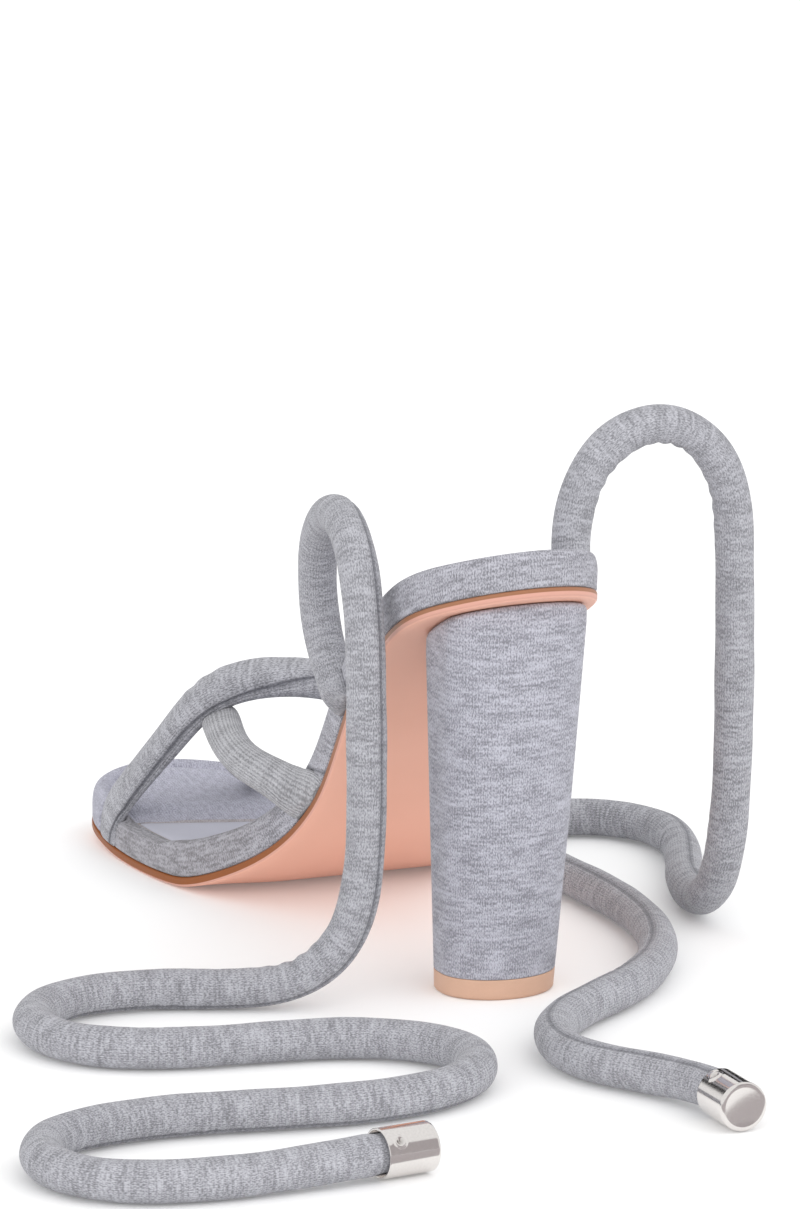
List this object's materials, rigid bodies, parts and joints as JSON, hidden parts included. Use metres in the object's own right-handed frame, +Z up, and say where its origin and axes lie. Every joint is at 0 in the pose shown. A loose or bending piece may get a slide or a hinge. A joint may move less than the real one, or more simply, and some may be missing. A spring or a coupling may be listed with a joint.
{
  "type": "chunky heel sandal",
  "caption": "Open-toed block heel sandal for the right foot, with crossed padded straps over the toes, a jersey-wrapped footbed and heel, and long padded ties let down to the floor.",
  "frame": {"origin": "On the floor, under the middle of the shoe's own box (ties and their caps not counted).", "axes": "+Y to the toe, +X to the wearer's right (the outer side of this right shoe), +Z up."},
  "size_m": [0.2644, 0.3442, 0.14],
  "materials": {
    "marl_jersey": "light grey marl jersey knit over thin padding, fully matt",
    "smooth_sock": "smooth grey lining sheet, low sheen",
    "peach_sole": "smooth peach sole with a tan edge, soft sheen",
    "heel_tip_rubber": "tan heel tip, satin",
    "polished_metal": "polished silver metal"
  },
  "bodies": {
    "root": {"outsole": "peach_sole", "footbed": "marl_jersey", "insole_sock": "smooth_sock", "heel_block": "marl_jersey", "heel_tip": "heel_tip_rubber", "vamp_straps": "marl_jersey", "arch_tie": "marl_jersey", "heel_tie": "marl_jersey", "arch_tie_ferrule": "polished_metal", "heel_tie_ferrule": "polished_metal"}
  },
  "joints": []
}
